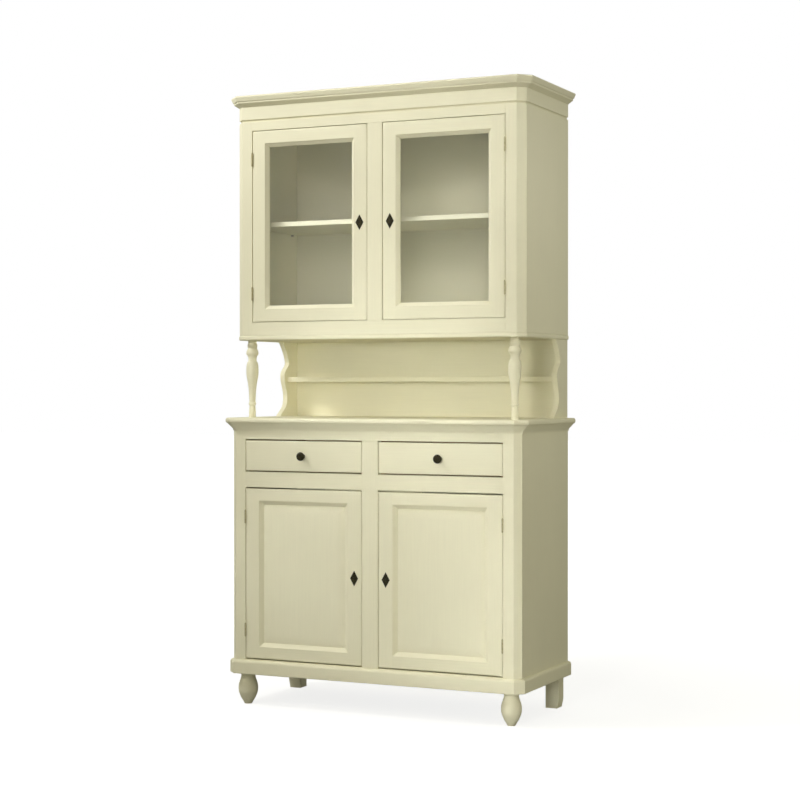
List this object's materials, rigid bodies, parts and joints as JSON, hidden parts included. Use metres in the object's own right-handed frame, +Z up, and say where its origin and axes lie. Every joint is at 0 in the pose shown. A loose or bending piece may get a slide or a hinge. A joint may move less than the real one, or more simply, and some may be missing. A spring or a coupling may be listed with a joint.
{
  "type": "dresser with hutch",
  "caption": "Painted country dresser: a base with drawers over panelled doors, an open niche with turned balusters, and a glazed hutch under a moulded cornice.",
  "frame": {"origin": "on the floor, at the middle of the bounding box's bottom", "axes": "+X to the right as seen from the front, +Y to the wall behind, +Z up"},
  "size_m": [1.124, 0.479, 2.1],
  "materials": {
    "cream_paint": "satin cream paint, brushed",
    "cream_paint_inside": "matt cream paint",
    "bare_pine": "bare planed pine",
    "clear_glass": "clear float glass",
    "dark_bronze": "dark antique bronze",
    "olive_brass": "dull antique brass",
    "lock_steel": "brushed"
  },
  "bodies": {
    "root": {"front_feet": "cream_paint", "back_legs": "cream_paint", "corner_blocks": "bare_pine", "plinth": "cream_paint", "base_bottom_board": "cream_paint_inside", "base_side_left": "cream_paint", "base_side_right": "cream_paint", "base_face_frame": "cream_paint", "base_back": "cream_paint_inside", "base_shelf": "cream_paint_inside", "dust_board": "bare_pine", "drawer_guides": "bare_pine", "worktop": "cream_paint", "worktop_moulding": "cream_paint", "balusters": "cream_paint", "side_brackets": "cream_paint", "spice_shelf": "cream_paint", "hutch_back": "cream_paint_inside", "upper_bottom_board": "cream_paint", "upper_floor_board": "cream_paint_inside", "upper_side_left": "cream_paint", "upper_side_right": "cream_paint", "upper_face_frame": "cream_paint", "upper_shelf": "cream_paint_inside", "shelf_pins": "lock_steel", "upper_top_board": "cream_paint_inside", "frieze": "cream_paint", "cornice": "cream_paint", "crown_panel": "cream_paint", "hinge_post_leaves": "olive_brass"},
    "lower_door_left": {"lower_door_frame_left": "cream_paint", "lower_door_panel_left": "cream_paint", "lower_escutcheon_left": "dark_bronze", "lower_lock_case_left": "lock_steel", "lower_hinge_leaves_left": "olive_brass"},
    "lower_bolt_left": {"lower_lock_bolt_left": "lock_steel"},
    "lower_door_right": {"lower_door_frame_right": "cream_paint", "lower_door_panel_right": "cream_paint", "lower_escutcheon_right": "dark_bronze", "lower_lock_case_right": "lock_steel", "lower_hinge_leaves_right": "olive_brass"},
    "lower_bolt_right": {"lower_lock_bolt_right": "lock_steel"},
    "upper_door_left": {"upper_door_frame_left": "cream_paint", "upper_door_glass_left": "clear_glass", "upper_escutcheon_left": "dark_bronze", "upper_lock_case_left": "lock_steel", "upper_hinge_leaves_left": "olive_brass"},
    "upper_bolt_left": {"upper_lock_bolt_left": "lock_steel"},
    "upper_door_right": {"upper_door_frame_right": "cream_paint", "upper_door_glass_right": "clear_glass", "upper_escutcheon_right": "dark_bronze", "upper_lock_case_right": "lock_steel", "upper_hinge_leaves_right": "olive_brass"},
    "upper_bolt_right": {"upper_lock_bolt_right": "lock_steel"},
    "drawer_left": {"drawer_front_left": "cream_paint", "drawer_box_left": "bare_pine", "knob_left": "dark_bronze"},
    "drawer_right": {"drawer_front_right": "cream_paint", "drawer_box_right": "bare_pine", "knob_right": "dark_bronze"}
  },
  "joints": [
    {"name": "lower_door_left_hinge", "type": "hinge", "parent": "root", "child": "lower_door_left", "pos_m": [-0.476, -0.2155, 0.4555], "axis": [0, 0, -1], "range_deg": [0, 110]},
    {"name": "lower_bolt_left_slide", "type": "slide", "parent": "lower_door_left", "child": "lower_bolt_left", "axis": [1, 0, 0], "range_m": [0, 0.008]},
    {"name": "lower_door_right_hinge", "type": "hinge", "parent": "root", "child": "lower_door_right", "pos_m": [0.476, -0.2155, 0.4555], "axis": [0, 0, 1], "range_deg": [0, 110]},
    {"name": "lower_bolt_right_slide", "type": "slide", "parent": "lower_door_right", "child": "lower_bolt_right", "axis": [-1, 0, 0], "range_m": [0, 0.008]},
    {"name": "upper_door_left_hinge", "type": "hinge", "parent": "root", "child": "upper_door_left", "pos_m": [-0.4695, -0.1795, 1.649], "axis": [0, 0, -1], "range_deg": [0, 110]},
    {"name": "upper_bolt_left_slide", "type": "slide", "parent": "upper_door_left", "child": "upper_bolt_left", "axis": [1, 0, 0], "range_m": [0, 0.008]},
    {"name": "upper_door_right_hinge", "type": "hinge", "parent": "root", "child": "upper_door_right", "pos_m": [0.4695, -0.1795, 1.649], "axis": [0, 0, 1], "range_deg": [0, 110]},
    {"name": "upper_bolt_right_slide", "type": "slide", "parent": "upper_door_right", "child": "upper_bolt_right", "axis": [-1, 0, 0], "range_m": [0, 0.008]},
    {"name": "drawer_left_slide", "type": "slide", "parent": "root", "child": "drawer_left", "axis": [0, -1, 0], "range_m": [0, 0.3]},
    {"name": "drawer_right_slide", "type": "slide", "parent": "root", "child": "drawer_right", "axis": [0, -1, 0], "range_m": [0, 0.3]}
  ]
}
